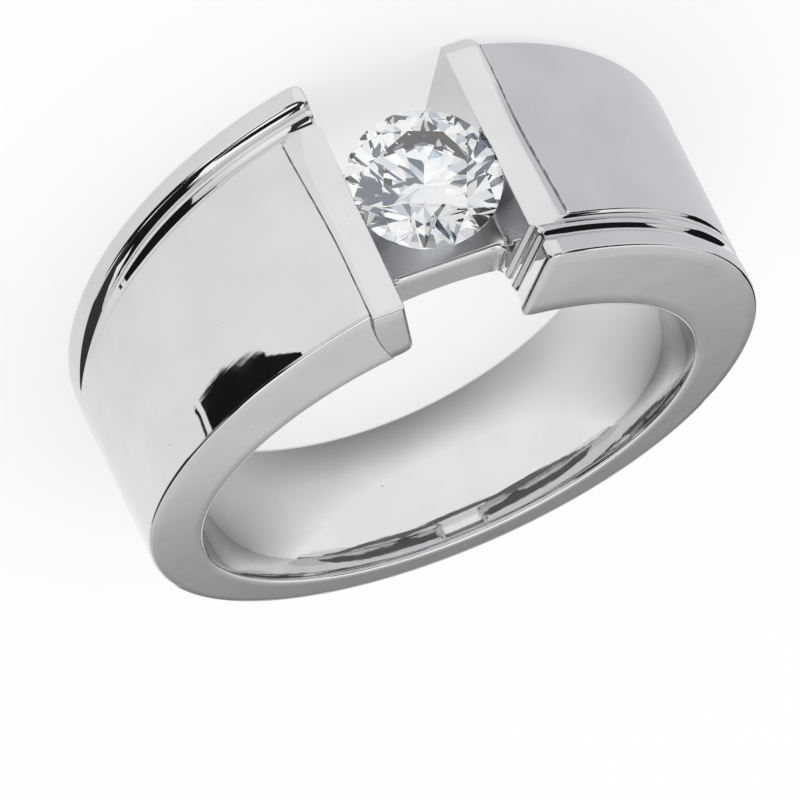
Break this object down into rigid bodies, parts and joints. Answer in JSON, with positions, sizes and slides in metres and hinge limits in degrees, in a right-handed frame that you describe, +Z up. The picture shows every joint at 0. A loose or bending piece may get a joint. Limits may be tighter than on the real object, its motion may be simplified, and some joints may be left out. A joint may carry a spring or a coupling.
{
  "type": "bar set ring",
  "caption": "Wide tapered finger ring of polished white metal, with a round brilliant stone held between flat bars over a bridge plate and a raised rim with grooves on each shoulder.",
  "frame": {"origin": "centre of the finger hole, half way between the side faces", "axes": "the ring lies on its back side face: +Z up, -Y from the finger hole towards the stone, +X towards the shoulder whose rim is at the bottom face; the finger hole's axis leans 5.3 degrees from +Z towards +Y, because the band widens towards the stone"},
  "size_m": [0.0246, 0.0266, 0.0103],
  "materials": {
    "white_metal": "polished white gold",
    "clear_stone": "faceted and polished"
  },
  "bodies": {
    "root": {"ring_body": "white_metal", "stone": "clear_stone"}
  },
  "joints": []
}
